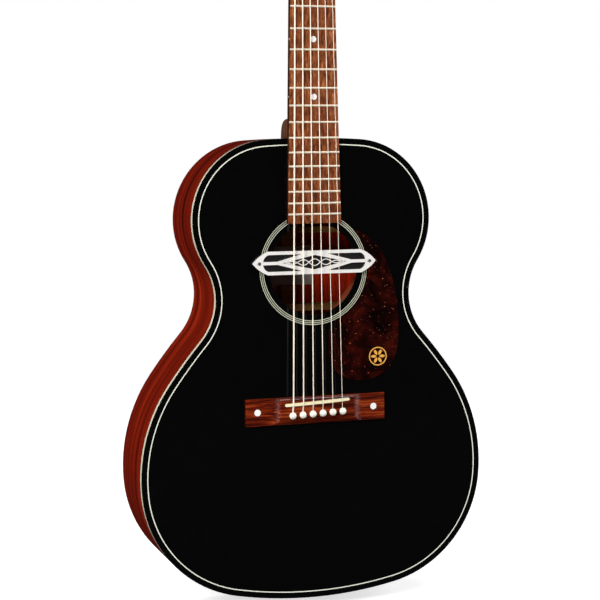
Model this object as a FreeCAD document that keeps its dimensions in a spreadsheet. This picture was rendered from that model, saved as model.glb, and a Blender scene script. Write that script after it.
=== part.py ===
import FreeCAD, Part
import math
import os
import re

# Steel-string acoustic guitar with a fourteen-fret neck joint and a soundhole pickup.
# Frame: +Z runs up the neck, the soundboard faces -Y and +X is the treble side.
# The origin is the mouth of the end-pin jack, in the middle of the tail. Sizes are in millimetres.

V = FreeCAD.Vector
doc = FreeCAD.newDocument("AcousticGuitar")

# ---------------------------------------------------------------- driving dimensions
DIMENSIONS = {
    # strings and neck
    "scale_length": 635.0,
    "fret_count": 20,
    "neck_joint_fret": 14,
    "board_end_past_fret": 10.0,
    "nut_width": 43.0,
    "board_end_width": 61.0,
    "board_thickness": 6.4,
    "board_arch_radius": 305.0,
    "nut_thickness": 6.0,
    "string_spread_nut": 36.0,
    "string_spread_saddle": 56.4,
    "string_height_nut": 8.3,
    "string_height_saddle": 12.2,
    "fret_width": 2.3,
    "fret_crown": 1.1,
    "tang_width": 0.6,
    "tang_depth": 2.0,
    "neck_depth_nut": 15.0,
    "neck_depth_body": 18.0,
    # body outline: tangent arcs from the tail round one half to the neck
    "tail_radius": 458.3,
    "tail_sweep": 11.56,
    "hip_radius": 131.1,
    "hip_sweep": 73.22,
    "bout_radius": 180.5,
    "bout_sweep": 40.33,
    "flank_radius": 579.3,
    "flank_sweep": 5.76,
    "waist_radius": 68.4,
    "waist_sweep": 73.57,
    "upper_radius": 87.5,
    "upper_sweep": 119.08,
    # body depth: a flat soundboard and a back that is part of a large sphere
    "body_depth": 99.0,
    "dome_radius": 3660.0,
    "dome_peak_z": 150.0,
    "top_thickness": 3.0,
    "back_thickness": 3.0,
    "side_thickness": 2.4,
    "binding_width": 1.8,
    "binding_depth": 6.0,
    "purfling_inset": 6.45,
    "purfling_width": 1.1,
    "inlay_depth": 1.2,
    "lining_width": 6.0,
    "lining_depth": 14.0,
    # soundhole and rosette, placed up from the scale's end
    "hole_rise": 140.0,
    "hole_radius": 50.6,
    "rosette_inner_radius": 57.2,
    "rosette_outer_radius": 61.9,
    # bridge, measured from the scale's end
    "bridge_drop": 15.4,
    "bridge_length": 160.8,
    "bridge_width": 29.8,
    "bridge_block_length": 85.0,
    "bridge_block_height": 8.6,
    "bridge_wing_height": 4.2,
    "bridge_tip_height": 3.4,
    "bridge_scoop_run": 12.4,
    "bridge_front_run": 3.6,
    "bridge_front_drop": 2.6,
    "bridge_rear_run": 9.8,
    "bridge_rear_drop": 4.9,
    "bridge_dot_spacing": 134.4,
    "bridge_dot_radius": 3.7,
    "saddle_drop": 6.6,
    "saddle_length": 74.5,
    "saddle_width": 3.2,
    "saddle_slant": 2.6,
    "pin_drop": 18.9,
    "pin_spread": 57.8,
    "pin_slant": 2.0,
    "pin_radius": 2.5,
    "pin_head_radius": 4.0,
    # pickguard
    "guard_thickness": 0.9,
    "guard_gap": 1.4,
    # pickup
    "pickup_rise": 147.4,
    "pickup_length": 141.6,
    "pickup_width": 25.6,
    "pickup_cover_thickness": 2.2,
    # headstock
    "head_angle": 15.0,
    "head_length": 182.0,
    "head_thickness": 14.0,
    "head_base_width": 64.0,
    "head_top_width": 76.0,
    "veneer_thickness": 2.0,
    # tuners
    "post_row_x": 22.0,
    "post_first": 44.0,
    "post_pitch": 41.0,
    "post_radius": 3.0,
    "gear_teeth": 14,
    "gear_pitch_radius": 6.02,
    "worm_pitch_radius": 2.7,
    "running_clearance": 0.06,
}

sheet = doc.addObject("Spreadsheet::Sheet", "Dimensions")
for row, (alias, value) in enumerate(DIMENSIONS.items(), start=1):
    sheet.set(f"A{row}", alias)
    sheet.set(f"B{row}", str(value))
    sheet.setAlias(f"B{row}", alias)
doc.recompute()


def size(alias):
    """A driving dimension, read back from the sheet."""
    return float(getattr(sheet, alias))


def bind(item, **cells):
    """Bind properties of an object to expressions of the sheet's cells, such as Length="top_thickness"."""
    for prop, expression in cells.items():
        item.setExpression(prop, re.sub(r"\b([a-z]\w+)", r"Dimensions.\1", expression))


# ---------------------------------------------------------------- places worked out from the dimensions
FRONT = -size("body_depth") / 2
UNDER_TOP = FRONT + size("top_thickness")
DOME_CENTRE = V(0, size("body_depth") / 2 - math.sqrt(size("dome_radius") ** 2 - size("dome_peak_z") ** 2),
                size("dome_peak_z"))
DEEP = size("body_depth") + 20
UPRIGHT = FreeCAD.Rotation(V(1, 0, 0), 90)
parts = {}


def keep(label, item):
    """Register an object as a sub-part; its label names its file."""
    item.Label = label
    parts[label] = item
    return item


# ---------------------------------------------------------------- sketch curves
def line(start, end):
    return Part.LineSegment(start, end)


def closed_polygon(points):
    """Straight edges through the points and back to the first."""
    return [line(a, b) for a, b in zip(points, points[1:] + points[:1])]


def arcs_to_curves(arcs):
    """Part arcs from (start, middle, end) triples."""
    return [Part.Arc(*arc) for arc in arcs]


def circle(radius, x=0.0, y=0.0):
    return Part.Circle(V(x, y, 0), V(0, 0, 1), radius)


def turning_arc(start, heading, radius, sweep):
    """An arc that leaves start along heading and turns by sweep (positive to the left)."""
    side = 1 if sweep > 0 else -1
    centre = start + V(-math.sin(heading), math.cos(heading), 0) * radius * side

    def point(angle):
        turned = heading + angle
        return centre - V(-math.sin(turned), math.cos(turned), 0) * radius * side

    return (start, point(sweep / 2), point(sweep)), heading + sweep


OUTLINE_TURNS = [("tail", 1), ("hip", 1), ("bout", 1), ("flank", 1), ("waist", -1), ("upper", 1)]


def half_outline(inset):
    """Tangent arcs of the treble half, from the tail to the neck, moved inward by inset."""
    point = V(0, inset, 0)
    heading = 0.0
    arcs = []
    for name, turn in OUTLINE_TURNS:
        radius = size(name + "_radius") - turn * inset
        sweep = turn * math.radians(size(name + "_sweep"))
        arc, heading = turning_arc(point, heading, radius, sweep)
        point = arc[2]
        arcs.append(arc)
    shoulder_radius = point.x / math.sin(heading)
    (start, middle, end), _ = turning_arc(point, heading, shoulder_radius, math.pi - heading)
    arcs.append((start, middle, V(0, end.y, 0)))
    return arcs


def mirrored(arcs):
    """The same arcs on the bass side, run the other way."""
    return [tuple(V(-p.x, p.y, 0) for p in reversed(arc)) for arc in reversed(arcs)]


def reversed_arcs(arcs):
    return [tuple(reversed(arc)) for arc in reversed(arcs)]


def full_outline(inset):
    half = half_outline(inset)
    return arcs_to_curves(half + mirrored(half))


def half_ring(outer_inset, inner_inset, treble):
    """A band that follows one half of the outline and ends on the centreline."""
    outer = half_outline(outer_inset)
    inner = reversed_arcs(half_outline(inner_inset))
    if not treble:
        outer, inner = mirrored(outer), mirrored(inner)
    curves = arcs_to_curves(outer + inner)
    return curves + [line(outer[-1][2], inner[0][0]), line(inner[-1][2], outer[0][0])]


BODY_LENGTH = half_outline(0)[-1][2].y


def fret_distance(fret):
    """Distance of a fret from the scale's end."""
    return size("scale_length") * 2 ** (-fret / 12)


SCALE_END = BODY_LENGTH - fret_distance(size("neck_joint_fret"))
NUT_FRONT = SCALE_END + size("scale_length")
NUT_BACK = NUT_FRONT + size("nut_thickness")
HOLE_Z = SCALE_END + size("hole_rise")
BRIDGE_Z = SCALE_END - size("bridge_drop")


# ---------------------------------------------------------------- building blocks
def add_sketch(body, role, curves):
    """A sketch with these curves on one of the body's own origin planes."""
    plane = next(item for item in body.Origin.OriginFeatures if item.Role == role)
    sketch = body.newObject("Sketcher::SketchObject", body.Name + "_sketch")
    sketch.AttachmentSupport = (plane, [""])
    sketch.MapMode = "FlatFace"
    sketch.addGeometry(curves, False)
    return sketch


def pad_body(name, role, curves, length, reverse=False, symmetric=False):
    """A body with one pad; length is an expression of the sheet's cells."""
    body = doc.addObject("PartDesign::Body", name)
    pad = body.newObject("PartDesign::Pad", name + "_pad")
    pad.Profile = add_sketch(body, role, curves)
    pad.Reversed = reverse
    if symmetric:
        pad.SideType = "Symmetric"
    bind(pad, Length=length)
    doc.recompute()
    return body


def pocket(body, role, curves, depth, reverse=False, symmetric=False):
    """Cut a sketch into the body and check that it took material away."""
    before = body.Shape.Volume
    cut = body.newObject("PartDesign::Pocket", body.Name + "_pocket")
    cut.Profile = add_sketch(body, role, curves)
    cut.Reversed = reverse
    if symmetric:
        cut.SideType = "Symmetric"
    bind(cut, Length=depth)
    doc.recompute()
    if body.Shape.Volume >= before - 1e-6:
        raise RuntimeError(f"{body.Name}: the pocket cut nothing")
    return body


def turned_body(name, profile):
    """A body turned about its own Z axis from (radius, height) points."""
    body = doc.addObject("PartDesign::Body", name)
    turn = body.newObject("PartDesign::Revolution", name + "_turn")
    turn.Profile = add_sketch(body, "XZ_Plane", closed_polygon([V(r, h, 0) for r, h in profile]))
    turn.ReferenceAxis = (turn.Profile[0], ["V_Axis"])
    turn.Angle = 360
    doc.recompute()
    return body


def front_plate(name, curves, thickness, depth=FRONT):
    """A plate parallel to the soundboard; its front face lies at the given Y."""
    body = pad_body(name, "XZ_Plane", curves, thickness, reverse=True)
    body.Placement = FreeCAD.Placement(V(0, depth, 0), FreeCAD.Rotation())
    return body


def boolean(kind, name, base, tool):
    """A Part boolean: kind is Cut, Common or Fuse."""
    item = doc.addObject("Part::" + kind, name)
    item.Base = base
    item.Tool = tool
    doc.recompute()
    return item


def group(name, items):
    """Separate solids kept together as one sub-part."""
    item = doc.addObject("Part::Compound", name)
    item.Links = items
    doc.recompute()
    return keep(name, item)


def box(name, low, high):
    """A box between two corners."""
    item = doc.addObject("Part::Box", name)
    item.Length, item.Width, item.Height = high.x - low.x, high.y - low.y, high.z - low.z
    item.Placement.Base = low
    return item


def cylinder(name, radius, height, base, direction=V(0, 0, 1)):
    """A cylinder; radius and height are expressions of the sheet's cells."""
    item = doc.addObject("Part::Cylinder", name)
    bind(item, Radius=radius, Height=height)
    item.Placement = FreeCAD.Placement(base, FreeCAD.Rotation(V(0, 0, 1), direction))
    return item


def shape_part(name, shape):
    """A sub-part whose shape comes from Part's own functions."""
    item = doc.addObject("Part::Feature", name)
    item.Shape = shape
    return item


def dome(name, inset):
    """The ball whose surface is the back's outer face, made smaller by inset."""
    ball = doc.addObject("Part::Sphere", name)
    bind(ball, Radius=f"dome_radius - {inset}")
    ball.Placement.Base = DOME_CENTRE
    return ball


def upright_prism(curves, low_y, depth):
    """A solid with an outline in X and Z, from low_y into the body by depth."""
    face = Part.Face(Part.Wire(Part.__sortEdges__([curve.toShape() for curve in curves])))
    face.Placement = FreeCAD.Placement(V(0, low_y, 0), UPRIGHT)
    return face.extrude(V(0, depth, 0))


# ---------------------------------------------------------------- body
back_outer_dome = dome("back_outer_dome", 0)
back_inner_dome = dome("back_inner_dome", size("back_thickness"))


def make_soundboard():
    board = front_plate("soundboard", full_outline(size("binding_width")), "top_thickness")
    pocket(board, "XZ_Plane", [circle(size("hole_radius"), 0, HOLE_Z)], "top_thickness", reverse=False)
    ring = [circle(size("rosette_inner_radius"), 0, HOLE_Z), circle(size("rosette_outer_radius"), 0, HOLE_Z)]
    pocket(board, "XZ_Plane", ring, "inlay_depth")
    outer, inner = size("purfling_inset"), size("purfling_inset") + size("purfling_width")
    pocket(board, "XZ_Plane", full_outline(outer) + full_outline(inner), "inlay_depth")
    pocket(board, "XZ_Plane", bridge_holes(), "top_thickness")
    keep("soundboard", board)
    keep("rosette", front_plate("rosette", ring, "inlay_depth"))
    purfling = front_plate("purfling", full_outline(outer) + full_outline(inner), "inlay_depth")
    keep("purfling", purfling)


def pin_place(index):
    """X and Z of a bridge pin, 0 on the bass side to 5 on the treble side."""
    x = size("pin_spread") * (index / 5 - 0.5)
    return x, SCALE_END - size("pin_drop") + x * math.tan(math.radians(size("pin_slant")))


PIN_HOLE_RADIUS = size("pin_radius") + 0.1
BOLT_RADIUS = 2.5


def bridge_holes():
    """Through holes for the bridge pins and the two bolts under the pearl dots."""
    holes = [circle(PIN_HOLE_RADIUS, *pin_place(index)) for index in range(6)]
    for side in (-1, 1):
        holes.append(circle(BOLT_RADIUS, side * size("bridge_dot_spacing") / 2, BRIDGE_Z))
    return holes


TENON_WIDTH = 20.0
TENON_DEPTH = 62.0
TENON_LENGTH = 16.0


def tenon_box(name, clearance):
    """The neck's tenon, or with a clearance the mortise that takes it."""
    half = TENON_WIDTH / 2 + clearance
    low = FRONT + size("binding_depth") + 0.4 - clearance
    return box(name, V(-half, low, BODY_LENGTH - TENON_LENGTH - clearance),
               V(half, low + TENON_DEPTH + 2 * clearance, BODY_LENGTH + 3))


JACK_SLEEVE_RADIUS = 6.0
JACK_BORE_RADIUS = 3.25


def jack_bore(name):
    """The hole for the end-pin jack, through the tail block and the sides."""
    bore = doc.addObject("Part::Cylinder", name)
    bore.Radius = JACK_SLEEVE_RADIUS + 0.05
    bore.Height = 60
    bore.Placement.Base = V(0, 0, -10)
    return bore


def make_sides():
    ledge = full_outline(0) + full_outline(size("binding_width"))
    keep("binding", front_plate("binding", ledge, "binding_depth"))
    for label, treble in (("side_bass", False), ("side_treble", True)):
        ring = half_ring(0, size("side_thickness"), treble)
        band = front_plate(label + "_band", ring, f"{DEEP}", UNDER_TOP)
        trimmed = boolean("Common", label + "_trimmed", band, back_inner_dome)
        rebated = boolean("Cut", label + "_rebated", trimmed, parts["binding"])
        slotted = boolean("Cut", label + "_slotted", rebated, tenon_box(label + "_mortise", 0.2))
        keep(label, boolean("Cut", label, slotted, jack_bore(label + "_bore")))


def make_back():
    slab = front_plate("back_slab", full_outline(0), f"{DEEP / 2}", 0)
    domed = boolean("Common", "back_domed", slab, back_outer_dome)
    keep("back", boolean("Cut", "back", domed, back_inner_dome))


NECK_BLOCK_HALF = 34.0
NECK_BLOCK_LENGTH = 42.0
TAIL_BLOCK_HALF = 38.0
TAIL_BLOCK_LENGTH = 24.0


def neck_block_slab(name, low_y):
    """The space that the neck block takes, from a depth into the body."""
    return box(name, V(-NECK_BLOCK_HALF, low_y, BODY_LENGTH - NECK_BLOCK_LENGTH),
               V(NECK_BLOCK_HALF, DEEP, BODY_LENGTH + 5))


def tail_block_slab(name, low_y):
    """The space that the tail block takes, from a depth into the body."""
    return box(name, V(-TAIL_BLOCK_HALF, low_y, -5), V(TAIL_BLOCK_HALF, DEEP, TAIL_BLOCK_LENGTH))


def make_blocks():
    inner = full_outline(size("side_thickness"))
    hollow = front_plate("block_limit", inner, f"{DEEP}", UNDER_TOP)
    room = boolean("Common", "block_room", hollow, back_inner_dome)
    neck_block = boolean("Common", "neck_block_blank", room, neck_block_slab("neck_block_slab", FRONT))
    keep("neck_block", boolean("Cut", "neck_block", neck_block, tenon_box("block_mortise", 0.2)))
    tail_slab = tail_block_slab("tail_block_slab", FRONT)
    tail_block = boolean("Common", "tail_block_blank", room, tail_slab)
    keep("tail_block", boolean("Cut", "tail_block", tail_block, jack_bore("block_bore")))


def make_linings():
    """Glue strips along both edges of the sides, cut away at the two end blocks."""
    outer = size("side_thickness")
    inner = outer + size("lining_width")
    blocks = boolean("Fuse", "block_space", neck_block_slab("neck_block_space", -DEEP),
                     tail_block_slab("tail_block_space", -DEEP))
    front_halves = []
    back_halves = []
    lower_dome = dome("lining_dome", size("back_thickness") + size("lining_depth"))
    for side, treble in (("bass", False), ("treble", True)):
        ring = half_ring(outer, inner, treble)
        strip = front_plate(f"lining_front_{side}_strip", ring, "lining_depth", UNDER_TOP)
        front_halves.append(boolean("Cut", f"lining_front_{side}", strip, blocks))
        tall = front_plate(f"lining_back_{side}_strip", ring, f"{DEEP}", 0)
        fitted = boolean("Common", f"lining_back_{side}_fitted", tall, back_inner_dome)
        shallow = boolean("Cut", f"lining_back_{side}_shallow", fitted, lower_dome)
        back_halves.append(boolean("Cut", f"lining_back_{side}", shallow, blocks))
    group("lining_front", front_halves)
    group("lining_back", back_halves)


# ---------------------------------------------------------------- braces
def brace_bar(name, length, height, width, centre, angle, depth=UNDER_TOP, inward=1):
    """A bar glued flat on a plate, tapered at both ends; angle tilts it about Y from the X axis."""
    half = length / 2
    tip = min(3.0, height / 2)
    taper = min(45.0, half / 2)
    profile = [V(-half, 0, 0), V(half, 0, 0), V(half, inward * tip, 0), V(half - taper, inward * height, 0),
               V(taper - half, inward * height, 0), V(-half, inward * tip, 0)]
    bar = pad_body(name, "XY_Plane", closed_polygon(profile), f"{width}", symmetric=True)
    turn = FreeCAD.Rotation(V(0, 1, 0), -angle)
    bar.Placement = FreeCAD.Placement(V(centre[0], depth, centre[1]), turn)
    return bar


X_CROSS_Z = SCALE_END + 52.0
X_ANGLE = 52.0
BRACE_HEIGHT = 15.0
BRACE_WIDTH = 7.5


BRACE_MARGIN = 9.5
UPPER_BRACE_RISE = 84.0


def inside_body(name, bar, margin=BRACE_MARGIN):
    """Trim a bar to the room inside the linings."""
    limit = front_plate(name + "_limit", full_outline(margin), f"{DEEP}", UNDER_TOP)
    return boolean("Common", name, bar, limit)


# name, length, distance from the centreline, drop below the scale's end, and tilt
FINGER_BRACES = [("upper", 62, 118, 2, 34), ("lower", 58, 136, 66, 14)]
# name, length and drop below the scale's end
TONE_BARS = [("upper", 150, 84), ("lower", 118, 136)]
TONE_X = 22.0
TONE_ANGLE = -32.0


def make_top_braces():
    lap = BRACE_HEIGHT / 2
    for label, angle, notch_low in (("x_brace_bass", X_ANGLE, 0), ("x_brace_treble", -X_ANGLE, lap)):
        bar = brace_bar(label + "_bar", 430, BRACE_HEIGHT, BRACE_WIDTH, (0, X_CROSS_Z), angle)
        notch = brace_bar(label + "_lap", 60, 2 * BRACE_HEIGHT, BRACE_WIDTH + 0.1, (0, X_CROSS_Z), -angle)
        half = box(label + "_half", V(-40, UNDER_TOP + notch_low, X_CROSS_Z - 40),
                   V(40, UNDER_TOP + notch_low + lap, X_CROSS_Z + 40))
        block = boolean("Common", label + "_notch", notch, half)
        lapped = boolean("Cut", label + "_lapped", bar, block)
        keep(label, inside_body(label, lapped))
    upper = brace_bar("upper_brace_bar", 290, 16, 12, (0, HOLE_Z + UPPER_BRACE_RISE), 0)
    keep("upper_brace", inside_body("upper_brace", upper, margin=9.0))
    fingers = []
    for name, length, x, drop, angle in FINGER_BRACES:
        for side in (-1, 1):
            fingers.append(brace_bar(f"finger_{name}_{side + 1}", length, 9, 6, (side * x, SCALE_END - drop),
                                     side * angle))
    group("finger_braces", fingers)
    group("tone_bars", [brace_bar(f"tone_bar_{name}", length, 12, 7, (TONE_X, SCALE_END - drop), TONE_ANGLE)
                        for name, length, drop in TONE_BARS])


BRIDGE_PLATE_THICKNESS = 2.6


def make_bridge_plate():
    outline = closed_polygon([V(-50, BRIDGE_Z - 20, 0), V(50, BRIDGE_Z - 20, 0), V(33, BRIDGE_Z + 8, 0),
                              V(-33, BRIDGE_Z + 8, 0)])
    plate = front_plate("bridge_plate", outline, f"{BRIDGE_PLATE_THICKNESS}", UNDER_TOP)
    holes = [circle(PIN_HOLE_RADIUS, *pin_place(index)) for index in range(6)]
    keep("bridge_plate", pocket(plate, "XZ_Plane", holes, f"{BRIDGE_PLATE_THICKNESS}"))


# name, length, distance from the neck joint, height and width
BACK_BRACES = [("upper", 244, 104, 14, 7), ("waist", 214, 193, 14, 8), ("middle", 340, 292, 9, 16),
               ("lower", 366, 392, 9, 16)]
BACK_BRACE_SUNK = 0.6
STRIP_HALF_WIDTH = 9.0
STRIP_THICKNESS = 2.4


def make_back_braces():
    """Four cross bars and the centre strip that lie on the inside of the domed back."""
    bars = []
    limit = front_plate("back_brace_limit", full_outline(BRACE_MARGIN), f"{DEEP}", UNDER_TOP)
    room = boolean("Common", "back_brace_room", limit, back_inner_dome)
    for name, length, drop, height, width in BACK_BRACES:
        z = BODY_LENGTH - drop
        bar = brace_bar(f"back_brace_{name}_bar", length, height + BACK_BRACE_SUNK, width, (0, z), 0,
                        inner_back_y(0, z) + BACK_BRACE_SUNK, inward=-1)
        bars.append(boolean("Common", f"back_brace_{name}", bar, room))
    group("back_braces", bars)
    strip = box("back_strip_slab", V(-STRIP_HALF_WIDTH, 0, TAIL_BLOCK_LENGTH + 1),
                V(STRIP_HALF_WIDTH, DEEP, BODY_LENGTH - NECK_BLOCK_LENGTH - 1))
    thin = dome("back_strip_dome", size("back_thickness") + STRIP_THICKNESS)
    fitted = boolean("Common", "back_strip_fit", strip, back_inner_dome)
    shell = boolean("Cut", "back_strip_shell", fitted, thin)
    cleared = boolean("Cut", "back_strip_cleared", shell, parts["back_braces"])
    keep("back_strip", boolean("Cut", "back_strip", cleared, label_box("back_strip_window", 1.0)))


def inner_back_y(x, z):
    """Y of the back's inner face at a point of the plan."""
    radius = size("dome_radius") - size("back_thickness")
    return DOME_CENTRE.y + math.sqrt(radius ** 2 - x ** 2 - (z - DOME_CENTRE.z) ** 2)


LABEL_WIDTH = 58.5
LABEL_LENGTH = 45.0
LABEL_Z = SCALE_END + 137.5
LABEL_THICKNESS = 0.4


def label_box(name, margin):
    """The space of the label, wider by a margin."""
    half_x, half_z = LABEL_WIDTH / 2 + margin, LABEL_LENGTH / 2 + margin
    return box(name, V(-half_x, 0, LABEL_Z - half_z), V(half_x, DEEP, LABEL_Z + half_z))


def make_label():
    """A blank paper label glued to the back under the soundhole, where the centre strip is cut away."""
    fitted = boolean("Common", "label_fitted", label_box("label_slab", 0), back_inner_dome)
    inner = dome("label_dome", size("back_thickness") + LABEL_THICKNESS)
    keep("label", boolean("Cut", "label", fitted, inner))


# ---------------------------------------------------------------- pickguard
# X, and height above the scale's end, round the outer edge and at the two ends by the rosette
GUARD_OUTLINE = [(16.2, 50.0), (19.0, 34.5), (33.0, 19.2), (58.6, 14.3), (82.0, 22.6), (95.0, 40.8),
                 (98.9, 66.0), (97.6, 97.0), (89.4, 134.0), (72.0, 166.4)]
GUARD_ENDS = [(16.5, 81.0), (49.1, 181.8)]
EMBLEM_X = 74.0
EMBLEM_RISE = 40.0
EMBLEM_RADIUS = 10.5
EMBLEM_THICKNESS = 0.15


def make_pickguard():
    """A teardrop drawn as one smooth curve whose inner edge follows the rosette."""
    radius = size("rosette_outer_radius") + size("guard_gap")
    rise = size("hole_rise")

    def on_ring(x, z):
        toward = V(x, z - rise, 0).normalize() * radius
        return V(toward.x, SCALE_END + rise + toward.y, 0)

    low, high = [on_ring(*point) for point in GUARD_ENDS]
    curve = Part.BSplineCurve()
    curve.interpolate([low] + [V(x, SCALE_END + z, 0) for x, z in GUARD_OUTLINE] + [high])
    inner = Part.Arc(high, on_ring(radius, rise), low)
    guard = front_plate("pickguard", [curve, inner], "guard_thickness", FRONT - size("guard_thickness"))
    keep("pickguard", guard)
    keep("pickguard_emblem", make_emblem())


def make_emblem():
    """A plain six-petal rosette in a ring, standing a hair proud of the pickguard."""
    centre = V(EMBLEM_X, SCALE_END + EMBLEM_RISE, 0)
    ring = [circle(radius, centre.x, centre.y) for radius in (EMBLEM_RADIUS, EMBLEM_RADIUS - 1.2)]
    root, tip, bulge = 1.6, EMBLEM_RADIUS - 2.1, 1.6
    petals = []
    for step in range(6):
        angle = math.radians(60 * step)
        out = V(math.cos(angle), math.sin(angle), 0)
        side = V(-out.y, out.x, 0) * bulge
        inner, middle, outer = centre + out * root, centre + out * (root + tip) / 2, centre + out * tip
        petals += [Part.Arc(inner, middle + side, outer), Part.Arc(outer, middle - side, inner)]
    return front_plate("pickguard_emblem", ring + petals, f"{EMBLEM_THICKNESS}",
                       FRONT - size("guard_thickness") - EMBLEM_THICKNESS)


# ---------------------------------------------------------------- strings
STRING_RADII = [0.67, 0.53, 0.41, 0.31, 0.20, 0.152]


def string_side(index, spread):
    return spread * (index / 5 - 0.5)


def string_point(index, z):
    """Centre of a string at a height up the neck, between the saddle and the nut."""
    share = (z - saddle_z(index)) / (NUT_FRONT - saddle_z(index))
    x = string_side(index, size("string_spread_saddle") * (1 - share) + size("string_spread_nut") * share)
    rise = size("string_height_saddle") * (1 - share) + size("string_height_nut") * share
    arch = x * x / (2 * size("board_arch_radius"))
    return V(x, FRONT - rise + arch, z)


def saddle_z(index):
    x = string_side(index, size("string_spread_saddle"))
    return SCALE_END - size("saddle_drop") + x * math.tan(math.radians(size("saddle_slant")))


def rod_chain(points, radius):
    """A round rod through the points, with ball knuckles at its bends."""
    solid = None
    for start, end in zip(points, points[1:]):
        run = Part.makeCylinder(radius, (end - start).Length, start, end - start)
        solid = run if solid is None else solid.fuse([Part.makeSphere(radius, start), run])
    return solid.removeSplitter()


# ---------------------------------------------------------------- headstock frame
HEAD_TURN = FreeCAD.Rotation(V(1, 0, 0), -size("head_angle"))
HEAD_ORIGIN = V(0, FRONT, NUT_BACK)
HEAD_PLACE = FreeCAD.Placement(HEAD_ORIGIN, HEAD_TURN)


def head_point(x, depth, along):
    """A point in the headstock's own frame: depth grows to its back, along grows to its tip."""
    return HEAD_PLACE.multVec(V(x, depth, along))


HEAD_OUT = HEAD_TURN.multVec(V(0, -1, 0))
HEAD_BACK = size("head_thickness")


def post_place(number):
    """X and distance along the headstock of a string post, 0 to 5 from the lowest string."""
    x = size("post_row_x") * (-1 if number < 3 else 1)
    step = number if number < 3 else 5 - number
    return x, size("post_first") + step * size("post_pitch")


POST_TOP = 17.0
WIND_DEPTH = -8.6
WIND_RADIUS = size("post_radius") + 1.5


def string_path(index):
    """Ball end, pin, saddle, nut and the tangent of the post's winding."""
    radius = STRING_RADII[index]
    pin_x, pin_z = pin_place(index)
    under_plate = UNDER_TOP + BRIDGE_PLATE_THICKNESS
    slot = pin_z + 1.55
    bend_y = FRONT - size("bridge_block_height") - radius - 0.5
    saddle = string_point(index, saddle_z(index))
    nut = string_point(index, NUT_FRONT)
    back = V(nut.x, nut.y + 0.15, NUT_BACK)
    post_x, along = post_place(index)
    inner = -1 if post_x > 0 else 1
    target = head_point(post_x + inner * (WIND_RADIUS + radius + 0.35), WIND_DEPTH, along)
    start = V(pin_x, under_plate + 3.4, pin_z + 4.4)
    return [start, V(pin_x, under_plate + 0.6, slot), V(pin_x, bend_y, slot), saddle, nut, back, target]


def make_strings():
    strings = []
    for index, radius in enumerate(STRING_RADII):
        path = string_path(index)
        ball = Part.makeCylinder(1.9, 3.6, path[0] - V(1.8, 0, 0), V(1, 0, 0))
        strings.append(rod_chain(path, radius).fuse(ball))
    keep("strings", shape_part("strings", Part.makeCompound(strings)))


# ---------------------------------------------------------------- bridge
def easing(start, run, rise):
    """An arc that leaves start level and climbs by rise over a run; either may be negative."""
    radius = (run * run + rise * rise) / (2 * abs(rise))
    half = math.asin(abs(run) / radius) / 2
    along, up = radius * math.sin(half), radius * (1 - math.cos(half))
    middle = start + V(math.copysign(along, run), math.copysign(up, rise), 0)
    return start, middle, start + V(run, rise, 0)


def bridge_front_view():
    """Raised centre block, a scooped step down on each side, and thin wings."""
    half, block = size("bridge_length") / 2, size("bridge_block_length") / 2
    tall, low, tip = size("bridge_block_height"), size("bridge_wing_height"), size("bridge_tip_height")
    run = size("bridge_scoop_run")
    scoop = easing(V(block + run, -low, 0), -run, low - tall)
    curves = [line(V(-half, 0, 0), V(half, 0, 0)), line(V(-block, -tall, 0), V(block, -tall, 0))]
    for side in (-1, 1):
        outer, middle, inner = [V(side * p.x, p.y, 0) for p in scoop]
        corner, foot = V(side * half, -tip, 0), V(side * half, 0, 0)
        curves += [line(foot, corner), line(corner, outer), Part.Arc(outer, middle, inner)]
    return curves


def bridge_side_view():
    """The section across the bridge: a short fall to the front edge and a long one to the rear edge."""
    half, tall = size("bridge_width") / 2, size("bridge_block_height")
    curves = [line(V(0, -half, 0), V(0, half, 0))]
    crests = []
    for side, name in ((1, "front"), (-1, "rear")):
        run, drop = size(f"bridge_{name}_run"), size(f"bridge_{name}_drop")
        fall = easing(V(side * (half - run), -tall, 0), side * run, drop)
        crest, middle, edge = [V(p.y, p.x, 0) for p in fall]
        curves += [Part.Arc(crest, middle, edge), line(edge, V(0, side * half, 0))]
        crests.append(crest)
    return curves + [line(*crests)]


def make_bridge():
    blank = pad_body("bridge_blank", "XY_Plane", bridge_front_view(), "bridge_width", symmetric=True)
    section = pad_body("bridge_section", "YZ_Plane", bridge_side_view(), "bridge_length + 2", symmetric=True)
    for item in (blank, section):
        item.Placement.Base = V(0, FRONT, BRIDGE_Z)
    drilled = boolean("Common", "bridge_carved", blank, section).Shape
    for index in range(6):
        x, z = pin_place(index)
        hole = Part.makeCylinder(PIN_HOLE_RADIUS, 20, V(x, FRONT - 15, z), V(0, 1, 0))
        drilled = drilled.cut(hole)
    for side in (-1, 1):
        centre = V(side * size("bridge_dot_spacing") / 2, FRONT, BRIDGE_Z)
        drilled = drilled.cut(Part.makeCylinder(BOLT_RADIUS, 20, centre - V(0, 15, 0), V(0, 1, 0)))
        recess = V(0, 20 + DOT_RECESS, 0)
        drilled = drilled.cut(Part.makeCylinder(size("bridge_dot_radius"), 20, centre - recess, V(0, 1, 0)))
    slot = saddle_blank(0.02, 5.0)
    keep("bridge", shape_part("bridge", drilled.cut(slot)))
    saddle = saddle_blank(0.0, 4.95).common(saddle_crown())
    keep("saddle", shape_part("saddle", saddle.cut(Part.makeCompound([
        rod_chain(string_path(index)[2:5], STRING_RADII[index]) for index in range(6)]))))


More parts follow.
